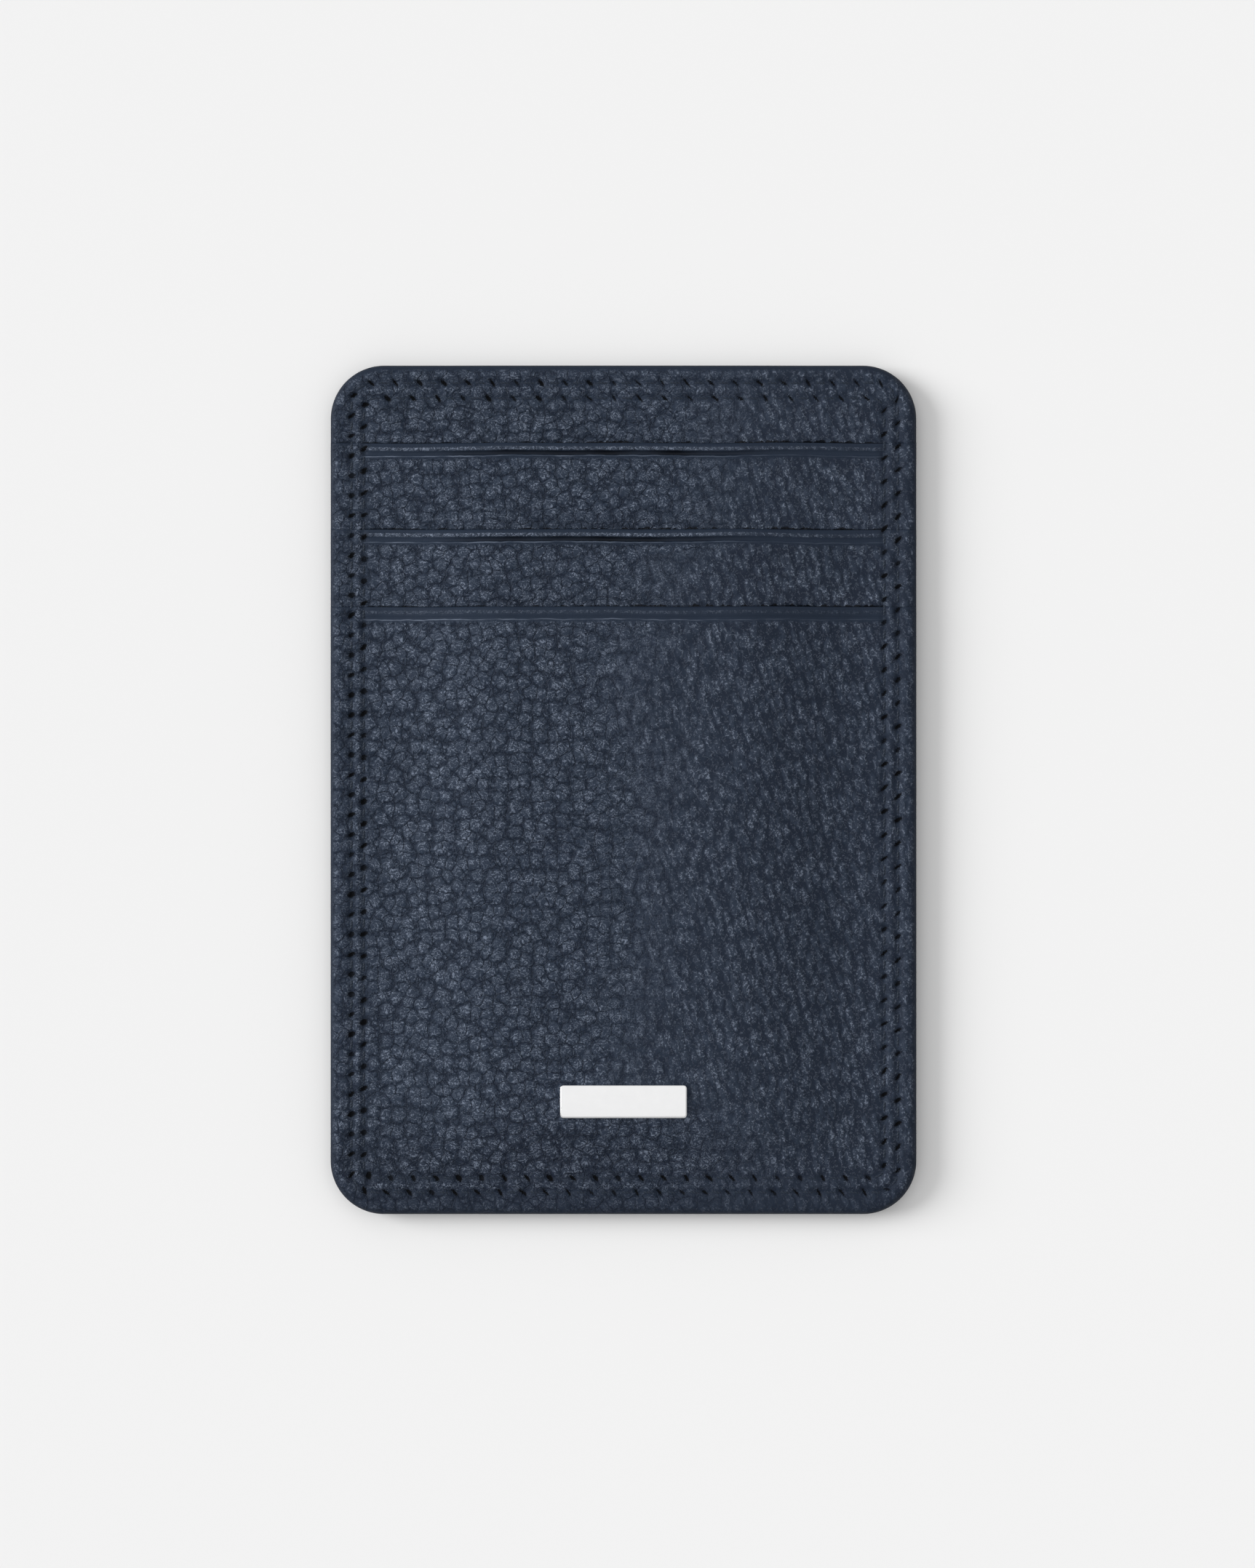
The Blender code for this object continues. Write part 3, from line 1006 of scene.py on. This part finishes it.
@finish
def pebbled_leather(n, shader):
    """Pebbled navy leather, smoother where its edges are turned, pierced along the rows; its
    colour carries painted shade and painted highlights.
    """
    skin = Skin(n)
    grain, place, bold = skin.grain, skin.place, skin.bold
    bead, crease, lip = mouth_marks(skin)
    # The needle holes are painted near black and the dimples round them darker, as painted shade.
    hole, pull = needle_marks(skin)
    highlight_share = painted_highlight_marks(skin, bead, lip)
    # Painted shade: the face is darker towards the foot and over the fine grain on its right
    # side.
    low = n.remap(skin.y, FOOT + 6.0, FOOT + 14.0, 0.42, 0.0)
    shade = n.most(n.times(grain["Fine"], 0.20), low)
    # The outline is painted dark, partly as edge paint and partly as painted shade, and the
    # rolled band just inside it gets more painted shade.
    edge_paint_and_shade = n.most(
        n.remap(skin.inset, 0.05, 0.18, 0.85, 0.0), n.remap(skin.inset, 0.3, 0.8, 0.3, 0.0)
    )

    leather, groove = colours().leather, colours().groove
    colour = n.blend(n.noise(place, 0.25, 3, 0.6), rgba(leather, 0.82), rgba(leather, 1.18))
    # Layers over the ground tone: painted shade towards the foot and the right, painted shade in
    # the grain valleys, painted highlights, painted shade in the crease, a painted contact
    # shadow, edge paint with painted shade, and painted shade round and in the needle holes.
    for share, over in (
        (shade, rgba(groove)),
        (n.times(grain["Valley"], bold, 0.95), rgba(groove)),
        (highlight_share, rgba(colours().painted_highlight)),
        (n.times(crease, 0.92), rgba(groove, 0.25)),
        (painted_contact_shadow(skin), rgba(groove, 0.2)),
        (edge_paint_and_shade, rgba(groove, 0.55)),
        (n.times(pull, 0.40), rgba(groove, 0.6)),
        (hole, rgba(groove, 0.08)),
    ):
        colour = n.blend(share, colour, over)
    n.feed(shader.inputs["Base Color"], colour)

    gloss = n.mix(n.remap(bold, 0.0, 0.4, 0.7, 0.0), n.mix(highlight_share, 0.62, 0.46), 0.48)
    patchy = n.plus(gloss, -0.05)
    patchy = n.math("MULTIPLY_ADD", n.noise(place, 1.7, 3, 0.6), 0.10, patchy)
    n.feed(shader.inputs["Roughness"], n.mix(hole, patchy, 0.95))
    shader.inputs["Specular IOR Level"].default_value = 0.14

    height = n.times(grain["Height"], n.plus(bold, 0.05))
    height = n.minus(height, n.times(hole, 2.0))
    height = n.minus(height, n.times(pull, 0.5))
    n.feed(shader.inputs["Normal"], bump(n, height, 0.16 * MM))


@finish
def bonded_thread(n, shader):
    """Bonded thread of three twisted plies."""
    around, along, _ = uv_map(n, "thread")
    turn = n.math("MULTIPLY_ADD", along, 2.6, around)
    wave = n.math("ABSOLUTE", n.math("SINE", n.times(turn, 3 * math.pi)))
    fuzz = n.noise(place_mm(n), 14.0, 2, 0.6)
    lit = n.math("MULTIPLY_ADD", fuzz, 0.4, n.times(wave, 0.7))
    thread = colours().thread
    n.feed(shader.inputs["Base Color"], n.blend(lit, rgba(thread, 0.65), rgba(thread, 1.15)))
    n.feed(shader.inputs["Roughness"], n.mix(wave, 0.62, 0.42))
    shader.inputs["Specular IOR Level"].default_value = 0.2
    n.feed(shader.inputs["Normal"], bump(n, n.math("MULTIPLY_ADD", fuzz, 0.3, wave), 0.03 * MM))


@finish
def woven_lining(n, shader):
    """Woven lining cloth."""
    weave = use_group(n, "plain_weave", weave_group, Place=place_mm(n), Yarn=0.32)
    shade, lining = weave["Shade"], colours().lining
    n.feed(shader.inputs["Base Color"], n.blend(shade, rgba(lining, 0.5), rgba(lining, 1.9)))
    n.feed(shader.inputs["Roughness"], n.mix(shade, 0.92, 0.72))
    shader.inputs["Sheen Weight"].default_value = 0.15
    n.feed(shader.inputs["Normal"], bump(n, weave["Height"], 0.05 * MM))


@finish
def fibre_board(n, shader):
    """Bonded fibre board with flecks."""
    place, board = place_mm(n), colours().board
    drawn = n.vector("MULTIPLY", place, (0.5, 2.2, 2.2))
    fleck, pulp = n.noise(drawn, 1.6, 5, 0.7, Distortion=0.8), n.noise(place, 6.0, 3, 0.6)
    colour = n.blend(n.remap(fleck, 0.35, 0.7), rgba(board, 0.75), rgba(board, 1.3))
    colour = n.blend(n.remap(pulp, 0.55, 0.75), colour, rgba(board, 0.6))
    n.feed(shader.inputs["Base Color"], colour)
    n.feed(shader.inputs["Roughness"], n.mix(fleck, 0.95, 0.8))
    n.feed(shader.inputs["Normal"], bump(n, n.plus(fleck, pulp), 0.03 * MM))


@finish
def polished_plate(n, shader):
    """Polished plate with faint handling marks."""
    place, plate = place_mm(n), colours().plate
    hair = n.noise(n.vector("MULTIPLY", place, (0.35, 9.0, 9.0)), 3.0, 3, 0.65)
    haze = n.noise(place, 0.9, 3, 0.6)
    dull = n.math("MULTIPLY_ADD", hair, 0.10, n.math("MULTIPLY_ADD", haze, 0.08, 0.06))
    n.feed(shader.inputs["Base Color"], n.blend(haze, rgba(plate, 0.94), rgba(plate)))
    n.feed(shader.inputs["Roughness"], dull)
    shader.inputs["Metallic"].default_value = 1.0
    n.feed(shader.inputs["Normal"], bump(n, hair, 0.0015 * MM))


@finish
def studio_floor(n, shader):
    """Matt, very nearly even floor."""
    tone, floor = n.noise(place_mm(n), 0.004), colours().floor
    n.feed(shader.inputs["Base Color"], n.blend(tone, rgba(floor, 0.995), rgba(floor, 1.005)))
    shader.inputs["Roughness"].default_value = 0.9
    shader.inputs["Specular IOR Level"].default_value = 0.1


# ---------------------------------------------------------------- operators


class CARDHOLDER_OT_front_plies(bpy.types.Operator):
    """Top panel, both slot panels and the front panel, with turned and creased mouths"""

    bl_idname = "card_holder.front_plies"
    bl_label = "Front panels"

    def execute(self, context):
        leather = pebbled_leather()
        xs = across_lines(FACE_STEP)
        for k, name in enumerate(PANELS):
            high = HALF_H if not k else MOUTHS[k]
            low = -HALF_H if k == 3 else TAILS[k]
            high_near = NEAR_MOUTH if k else NEAR_OUTLINE
            low_near = NEAR_OUTLINE if k == 3 else (0, 0.3)
            ys = up_lines(low, high, low_near, high_near, FACE_STEP)
            if k < 3:
                # Lines at the next mouth, where the ply is pressed down.
                ys = sorted(ys + [MOUTHS[k + 1] + 0.01 * MM, MOUTHS[k + 1] - 0.25 * MM])
            keep, under, top = (
                functools.partial(rule, k) for rule in (has_leather, tail_under, panel_top)
            )
            bm = ply_mesh(xs, ys, keep, under, top, k)
            if k:
                # The ply's top follows its mouth's wandering edge.
                for vert in bm.verts:
                    slide = mouth_y(k, vert.co.x) - MOUTHS[k]
                    near = 1 - smooth((MOUTHS[k] - vert.co.y) / (4 * MM))
                    vert.co.y += slide * near
            swell_grain(new_piece(name + "_leather", bm, leather, name))
        return {"FINISHED"}


class CARDHOLDER_OT_back_ply(bpy.types.Operator):
    """Leather back cover, flat where it rests and turned up into the seam"""

    bl_idname = "card_holder.back_ply"
    bl_label = "Back cover"

    def execute(self, context):
        xs = across_lines(BACK_STEP)
        ys = up_lines(-HALF_H, HALF_H, NEAR_OUTLINE, NEAR_OUTLINE, BACK_STEP)
        bm = ply_mesh(xs, ys, lambda x, y: True, back_face, back_inside, None, shown=-1)
        name = "back_cover_leather"
        swell_grain(new_piece(name, bm, pebbled_leather(), "back_cover"))
        return {"FINISHED"}


STRAND_STEP = 0.12         # how far the thread's UV map runs on with each step


def tube_mesh(path, steps, around, radius, closed):
    """A round thread along path(step), which gives its centre; a UV map runs with it."""
    bm = bmesh.new()
    bmesh.ops.create_grid(bm, x_segments=around, y_segments=steps, size=1.0)
    strand = bm.loops.layers.uv.new("thread")
    for face in bm.faces:
        for loop in face.loops:
            along = (loop.vert.co.y + 1) / 2 * steps
            loop[strand].uv = ((loop.vert.co.x + 1) / 2, along * STRAND_STEP)
    centres = [path(step) for step in range(steps + 1)]
    # Beyond either end a closed thread runs on round; an open one stops.
    before = centres[-2] if closed else centres[0]
    after = centres[1] if closed else centres[-1]
    course = [before, *centres, after]
    for vert in bm.verts:
        step = round((vert.co.y + 1) / 2 * steps)
        turn = round((vert.co.x + 1) / 2 * around) / around * 2 * math.pi
        ahead = (course[step + 2] - course[step]).normalized()
        side = ahead.cross(Vector((0, 0, 1))).normalized()
        up = side.cross(ahead)
        vert.co = centres[step] + radius * (math.cos(turn) * side + math.sin(turn) * up)
    bmesh.ops.remove_doubles(bm, verts=bm.verts[:], dist=0.002 * MM)
    if not closed:
        rims = [edge for edge in bm.edges if edge.is_boundary]
        bmesh.ops.holes_fill(bm, edges=rims, sides=0)
    bmesh.ops.recalc_face_normals(bm, faces=bm.faces[:])
    return bm


STITCH_STEPS = 8
STITCH_LEAN = 0.12 * MM    # how far each end of a stitch lies to one side of its row
SEAM_STITCHES = 20


def stitch_path(row, surface, sign):
    """Centres of a sewn row on a face of the holder; sign is 1 on the front."""
    thread = sizes().thread

    def path(step):
        phase = step / STITCH_STEPS
        share = phase % 1.0
        x, y, out_x, out_y = row.place(phase)
        # Each stitch leans across its row and swaps sides inside the needle hole.
        lean = mix(-STITCH_LEAN, STITCH_LEAN, share) * min(1.0, 6 * min(share, 1 - share))
        x, y = x + out_x * lean, y + out_y * lean
        arch = math.sin(math.pi * share) ** 0.55
        return Vector((x, y, surface(x, y) + sign * mix(-1.0, -0.34, arch) * thread))

    return path


class CARDHOLDER_OT_stitching(bpy.types.Operator):
    """Both stitch rows, as needle thread on the front and bobbin thread on the back"""

    bl_idname = "card_holder.stitching"
    bl_label = "Stitching"

    def execute(self, context):
        def front(x, y):
            return panel_top(panel_at(x, y), x, y)

        for label, row in zip(("outer", "inner"), stitch_rows()):
            steps = row.count * STITCH_STEPS
            for face, surface, sign in (("front", front, 1), ("back", back_face, -1)):
                path = stitch_path(row, surface, sign)
                bm = tube_mesh(path, steps, 6, sizes().thread / 2, True)
                name = f"{face}_{label}_stitching"
                new_piece(name + "_thread", bm, bonded_thread(), name)
        return {"FINISHED"}


def stack_height(share, x, y):
    """Height of an inner ply that lies this share of the way from the base to the front."""
    low = mix(JOIN_Z + 0.10 * MM, 2.00 * MM, rise(1, x, y))
    high = panel_under(3, x, min(y, MOUTHS[3] - 2 * MM)) - 0.35 * MM
    return mix(low, max(high, low), share)


# Each lining's share of the way up the stack, and each bottom seam's.
LININGS = {
    "base_lining": 0.0, "slot_1_lining": 0.34, "slot_2_lining": 0.66, "front_lining": 1.0
}
SEAMS = {"slot_1_seam": 0.17, "slot_2_seam": 0.50}


class CARDHOLDER_OT_linings(bpy.types.Operator):
    """Woven linings that form the pockets' hidden walls"""

    bl_idname = "card_holder.linings"
    bl_label = "Linings"

    def execute(self, context):
        for name, share in LININGS.items():
            low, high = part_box(name)
            bm = bmesh.new()
            bmesh.ops.create_grid(bm, x_segments=44, y_segments=60, size=1.0)
            for vert in bm.verts:
                vert.co.x *= high.x
                vert.co.y = mix(low.y, high.y, (vert.co.y + 1) / 2)
                ripple = 0.04 * MM * wander(vert.co.x, vert.co.y, 9 * MM, 5 * share)
                vert.co.z = stack_height(share, vert.co.x, vert.co.y) + ripple
            made = bmesh.ops.extrude_face_region(bm, geom=bm.faces[:])
            lifted = [v for v in made["geom"] if isinstance(v, bmesh.types.BMVert)]
            bmesh.ops.translate(bm, vec=(0, 0, 0.16 * MM), verts=lifted)
            bmesh.ops.recalc_face_normals(bm, faces=bm.faces[:])
            piece = new_piece(name + "_cloth", bm, woven_lining(), name)
        return {"FINISHED"}


def seam_path(name, share, steps):
    """Centres of a pocket's bottom seam, whose thread waves up and down with its stitches."""
    low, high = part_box(name)
    y = (low.y + high.y) / 2

    def path(step):
        x = mix(low.x + 0.4 * MM, high.x - 0.4 * MM, step / steps)
        wave = 0.22 * MM * math.cos(2 * math.pi * step / STITCH_STEPS)
        return Vector((x, y, stack_height(share, x, y) + 0.1 * MM + wave))

    return path


class CARDHOLDER_OT_seams(bpy.types.Operator):
    """Hidden threads that close the bottoms of the first two pockets"""

    bl_idname = "card_holder.seams"
    bl_label = "Pocket seams"

    def execute(self, context):
        steps = SEAM_STITCHES * STITCH_STEPS
        for name, share in SEAMS.items():
            bm = tube_mesh(seam_path(name, share, steps), steps, 7, 0.15 * MM, False)
            new_piece(name + "_thread", bm, bonded_thread(), name)
        return {"FINISHED"}


class CARDHOLDER_OT_board(bpy.types.Operator):
    """Fibre finish of the stiffening board inside the back"""

    bl_idname = "card_holder.board"
    bl_label = "Stiffening board"

    def execute(self, context):
        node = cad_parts["back_stiffener"]
        node.data.materials.clear()
        node.data.materials.append(fibre_board())
        return {"FINISHED"}


PLATE_PRESS = 0.08 * MM
POST_X = 5 * MM
POST_RADIUS = 0.45 * MM
POST_LENGTH = 0.9 * MM


class CARDHOLDER_OT_plate(bpy.types.Operator):
    """Blank polished plate with softened edges, held by two posts through the leather"""

    bl_idname = "card_holder.plate"
    bl_label = "Plate"

    def execute(self, context):
        low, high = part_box("name_plate")
        middle_y = (low.y + high.y) / 2
        thickness = sizes().plate_thickness
        bm = bmesh.new()
        bmesh.ops.create_cube(bm, size=1.0)
        bmesh.ops.scale(bm, vec=(high.x - low.x, high.y - low.y, thickness), verts=bm.verts)
        upright = [e for e in bm.edges if abs(e.verts[0].co.z - e.verts[1].co.z) > 0.1 * MM]
        bmesh.ops.bevel(
            bm, geom=upright, offset=0.42 * MM, segments=5, profile=0.5, affect="EDGES",
            material=-1,
        )
        top = max(bm.faces, key=lambda face: face.calc_center_median().z)
        bmesh.ops.bevel(
            bm, geom=list(top.edges), offset=0.20 * MM, segments=4, profile=0.5,
            affect="EDGES", material=-1,
        )
        # The plate is pressed a little way into the leather.
        base = panel_top(3, 0, middle_y) - PLATE_PRESS
        bmesh.ops.translate(bm, vec=(0, middle_y, base + thickness / 2), verts=bm.verts)
        for side in (-1, 1):
            post = bmesh.ops.create_cone(
                bm, cap_ends=True, segments=16, radius1=POST_RADIUS, radius2=POST_RADIUS,
                depth=POST_LENGTH,
            )
            bmesh.ops.translate(
                bm, vec=(side * POST_X, middle_y, base + 0.05 * MM - POST_LENGTH / 2),
                verts=post["verts"],
            )
        bmesh.ops.recalc_face_normals(bm, faces=bm.faces[:])
        piece = new_piece("name_plate_metal", bm, polished_plate(), "name_plate")
        piece.data.set_sharp_from_angle(angle=math.radians(35))
        return {"FINISHED"}


VIEW_HEIGHT = 184.6 * MM   # how much of the floor the camera takes in, from top to bottom
VIEW_MIDDLE = (0.47 * MM, 0.68 * MM, 2.6 * MM)

LAMP_AWAY = 0.6
# Strength, spread, lean from upright and heading of each light, with angles in degrees: a
# broad overhead softbox, and a key from the left that sets the shadow's side.
LIGHTS = {"overhead": (0.48, 74, 20, 112), "key": (2.80, 32, 64, 168)}


def add_floor(scene):
    bm = bmesh.new()
    bmesh.ops.create_grid(bm, x_segments=1, y_segments=1, size=3.0)
    mesh = bpy.data.meshes.new("floor")
    bm.to_mesh(mesh)
    bm.free()
    mesh.materials.append(studio_floor())
    floor = bpy.data.objects.new("floor", mesh)
    scene.collection.objects.link(floor)


def add_light(scene, name, strength, spread, lean, heading):
    light = bpy.data.lights.new(name, "SUN")
    light.energy = strength
    light.angle = math.radians(spread)
    lamp = bpy.data.objects.new(name, light)
    scene.collection.objects.link(lamp)
    lean, heading = math.radians(lean), math.radians(heading)
    aside = math.sin(lean)
    source = Vector((aside * math.cos(heading), aside * math.sin(heading), math.cos(lean)))
    lamp.location = source * LAMP_AWAY
    lamp.rotation_mode = "QUATERNION"
    lamp.rotation_quaternion = source.to_track_quat("Z", "Y")


def add_camera(scene):
    """The camera looks straight down on the holder's front."""
    data = bpy.data.cameras.new("camera")
    data.lens = 100
    data.sensor_width = 36
    data.clip_start, data.clip_end = 0.01, 10
    camera = bpy.data.objects.new("camera", data)
    scene.collection.objects.link(camera)
    away = Vector((0, 0, VIEW_HEIGHT * data.lens / data.sensor_width))
    camera.location = Vector(VIEW_MIDDLE) + away
    scene.camera = camera


class CARDHOLDER_OT_stage(bpy.types.Operator):
    """Pale floor, soft studio light and the camera"""

    bl_idname = "card_holder.stage"
    bl_label = "Stage"

    def execute(self, context):
        scene = context.scene
        scene.view_settings.view_transform = "Standard"
        add_floor(scene)
        world = bpy.data.worlds.new("studio")
        world.use_nodes = True
        background = world.node_tree.nodes["Background"]
        background.inputs["Color"].default_value = (1, 1, 1, 1)
        background.inputs["Strength"].default_value = 0.56
        scene.world = world
        for name, settings in LIGHTS.items():
            add_light(scene, name, *settings)
        add_camera(scene)
        return {"FINISHED"}


class CARDHOLDER_PT_panel(bpy.types.Panel):
    """Lists the holder's pieces in the sidebar"""

    bl_idname = "CARDHOLDER_PT_panel"
    bl_label = "Card Holder"
    bl_space_type = "VIEW_3D"
    bl_region_type = "UI"
    bl_category = "Card Holder"

    def draw(self, context):
        for group in (sizes(), colours()):
            box = self.layout.box()
            for name in group.__annotations__:
                box.prop(group, name)
        for operator in PIECES:
            self.layout.operator(operator.bl_idname)


PIECES = (
    CARDHOLDER_OT_front_plies, CARDHOLDER_OT_back_ply, CARDHOLDER_OT_stitching,
    CARDHOLDER_OT_linings, CARDHOLDER_OT_seams, CARDHOLDER_OT_board, CARDHOLDER_OT_plate,
    CARDHOLDER_OT_stage,
)
CLASSES = (CardHolderSizes, CardHolderColours, *PIECES, CARDHOLDER_PT_panel)


def register():
    for cls in CLASSES:
        bpy.utils.register_class(cls)
    bpy.types.Scene.card_holder_sizes = bpy.props.PointerProperty(type=CardHolderSizes)
    bpy.types.Scene.card_holder_colours = bpy.props.PointerProperty(type=CardHolderColours)


def unregister():
    del bpy.types.Scene.card_holder_colours
    del bpy.types.Scene.card_holder_sizes
    for cls in reversed(CLASSES):
        bpy.utils.unregister_class(cls)


def main():
    register()
    bpy.ops.card_holder.front_plies()
    bpy.ops.card_holder.back_ply()
    bpy.ops.card_holder.stitching()
    bpy.ops.card_holder.linings()
    bpy.ops.card_holder.seams()
    bpy.ops.card_holder.board()
    bpy.ops.card_holder.plate()
    bpy.ops.card_holder.stage()


if __name__ == "__main__":
    main()
